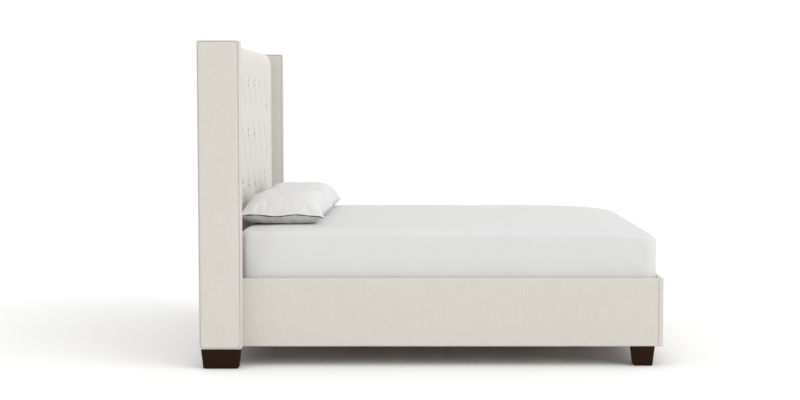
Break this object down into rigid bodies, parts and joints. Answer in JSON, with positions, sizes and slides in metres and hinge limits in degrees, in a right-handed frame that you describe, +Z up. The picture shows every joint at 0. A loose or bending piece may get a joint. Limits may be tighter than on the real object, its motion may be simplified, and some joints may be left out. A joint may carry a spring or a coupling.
{
  "type": "upholstered bed",
  "caption": "Wingback platform bed with a diamond-tufted headboard, padded wings, rails and footboard, block legs, slats, a mattress in its sheet and pillows.",
  "frame": {"origin": "on the floor, under the centre of the bed's outline", "axes": "+X from the head to the foot, +Y across to the left side of a person lying in the bed, +Z up"},
  "size_m": [2.235, 2.2, 1.57],
  "materials": {
    "ivory_linen": "plain linen weave, warm ivory",
    "tufted_linen": "plain linen weave over deep diamond tufting, warm ivory",
    "white_cotton": "fine smooth cotton percale, white",
    "mattress_ticking": "knitted ticking, off-white",
    "timber": "planed pine, unfinished",
    "plywood": "birch plywood, unfinished",
    "espresso_wood": "hardwood stained very dark brown, satin lacquer",
    "zinc_steel": "zinc-plated steel",
    "felt_pad": "pressed felt, dark grey",
    "rubber_pad": "moulded rubber, matt black"
  },
  "bodies": {
    "bed_frame": {"headboard_frame": "timber", "headboard_board": "plywood", "headboard_tufting": "tufted_linen", "tuft_buttons": "tufted_linen", "headboard_back_cover": "ivory_linen", "left_wing_core": "timber", "right_wing_core": "timber", "left_wing_cover": "ivory_linen", "right_wing_cover": "ivory_linen", "wing_bolts": "zinc_steel", "left_head_leg": "espresso_wood", "right_head_leg": "espresso_wood", "left_foot_leg": "espresso_wood", "right_foot_leg": "espresso_wood", "leg_bolts": "zinc_steel", "leg_glides": "felt_pad", "left_rail_core": "timber", "right_rail_core": "timber", "left_rail_cover": "ivory_linen", "right_rail_cover": "ivory_linen", "left_rail_ledger": "timber", "right_rail_ledger": "timber", "footboard_core": "timber", "footboard_cover": "ivory_linen", "left_corner_block": "timber", "right_corner_block": "timber", "headboard_cleat": "timber", "footboard_cleat": "timber", "rail_hook_plates": "zinc_steel", "rail_slot_plates": "zinc_steel", "bracket_screws": "zinc_steel", "slat_screws": "zinc_steel", "centre_beam": "timber", "beam_hangers": "zinc_steel", "insert_nuts": "zinc_steel", "slat_1": "timber", "slat_2": "timber", "slat_3": "timber", "slat_4": "timber", "slat_5": "timber", "slat_6": "timber", "slat_7": "timber", "slat_8": "timber", "slat_9": "timber", "slat_10": "timber", "slat_11": "timber", "slat_12": "timber", "centre_leg_1": "espresso_wood", "centre_leg_2": "espresso_wood", "centre_leg_3": "espresso_wood"},
    "mattress_body": {"mattress": "mattress_ticking", "fitted_sheet": "white_cotton"},
    "left_pillow_body": {"left_pillow": "white_cotton"},
    "right_pillow_body": {"right_pillow": "white_cotton"},
    "foot_pad_1": {"levelling_pad_1": "rubber_pad"},
    "foot_stem_1": {"levelling_stem_1": "zinc_steel"},
    "foot_pad_2": {"levelling_pad_2": "rubber_pad"},
    "foot_stem_2": {"levelling_stem_2": "zinc_steel"},
    "foot_pad_3": {"levelling_pad_3": "rubber_pad"},
    "foot_stem_3": {"levelling_stem_3": "zinc_steel"}
  },
  "joints": [
    {"name": "mattress_lift", "type": "slide", "parent": "bed_frame", "child": "mattress_body", "axis": [0, 0, 1], "range_m": [0, 0.6]},
    {"name": "left_pillow_lift", "type": "slide", "parent": "mattress_body", "child": "left_pillow_body", "axis": [0, 0, 1], "range_m": [0, 0.5]},
    {"name": "right_pillow_lift", "type": "slide", "parent": "mattress_body", "child": "right_pillow_body", "axis": [0, 0, 1], "range_m": [0, 0.5]},
    {"name": "foot_1_travel", "type": "slide", "parent": "bed_frame", "child": "foot_pad_1", "axis": [0, 0, 1], "range_m": [0, 0.012]},
    {"name": "foot_1_turn", "type": "hinge", "parent": "foot_pad_1", "child": "foot_stem_1", "pos_m": [-0.50625, 0, 0.03], "axis": [0, 0, 1], "range_deg": [0, 3456]},
    {"name": "foot_2_travel", "type": "slide", "parent": "bed_frame", "child": "foot_pad_2", "axis": [0, 0, 1], "range_m": [0, 0.012]},
    {"name": "foot_2_turn", "type": "hinge", "parent": "foot_pad_2", "child": "foot_stem_2", "pos_m": [0.016, 0, 0.03], "axis": [0, 0, 1], "range_deg": [0, 3456]},
    {"name": "foot_3_travel", "type": "slide", "parent": "bed_frame", "child": "foot_pad_3", "axis": [0, 0, 1], "range_m": [0, 0.012]},
    {"name": "foot_3_turn", "type": "hinge", "parent": "foot_pad_3", "child": "foot_stem_3", "pos_m": [0.53825, 0, 0.03], "axis": [0, 0, 1], "range_deg": [0, 3456]}
  ],
  "couplings": [
    {"joint": "foot_1_travel", "follows": "foot_1_turn", "m_per_rad": 0.00019894},
    {"joint": "foot_2_travel", "follows": "foot_2_turn", "m_per_rad": 0.00019894},
    {"joint": "foot_3_travel", "follows": "foot_3_turn", "m_per_rad": 0.00019894}
  ]
}
